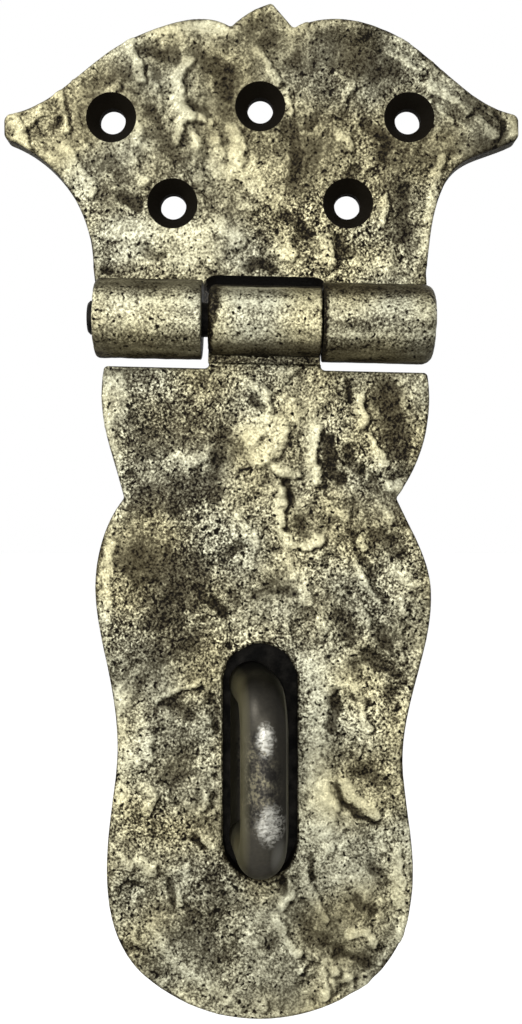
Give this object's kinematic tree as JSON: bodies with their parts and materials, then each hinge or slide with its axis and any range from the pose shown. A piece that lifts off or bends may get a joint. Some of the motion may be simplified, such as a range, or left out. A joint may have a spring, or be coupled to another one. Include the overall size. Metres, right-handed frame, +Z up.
{
  "type": "locking hasp and staple",
  "caption": "Ornamental hinged hasp with a long slotted strap that closes over a bent bar staple, to be locked with a padlock.",
  "frame": {"origin": "centre of the leaf's middle screw hole, where it meets the door's face", "axes": "+Z up towards the leaf's finial, -Y out of the door towards the viewer, +X to the viewer's right"},
  "size_m": [0.093, 0.0243, 0.1821],
  "materials": {
    "antique_iron": "rough hammered relief, blackened, with pale brass rubbed over the high spots",
    "worn_iron": "dark gunmetal, polished by wear on the crown",
    "dark_iron": "blackened"
  },
  "bodies": {
    "fixed": {"fixed_leaf": "antique_iron", "hinge_pin": "dark_iron", "staple_loop": "worn_iron", "staple_plate": "dark_iron"},
    "strap": {"hasp_strap": "antique_iron"}
  },
  "joints": [
    {"name": "hasp_hinge", "type": "hinge", "parent": "fixed", "child": "strap", "pos_m": [0, -0.00702, -0.0393], "axis": [-0.9998, 0, 0.0209], "range_deg": [0, 180]}
  ]
}
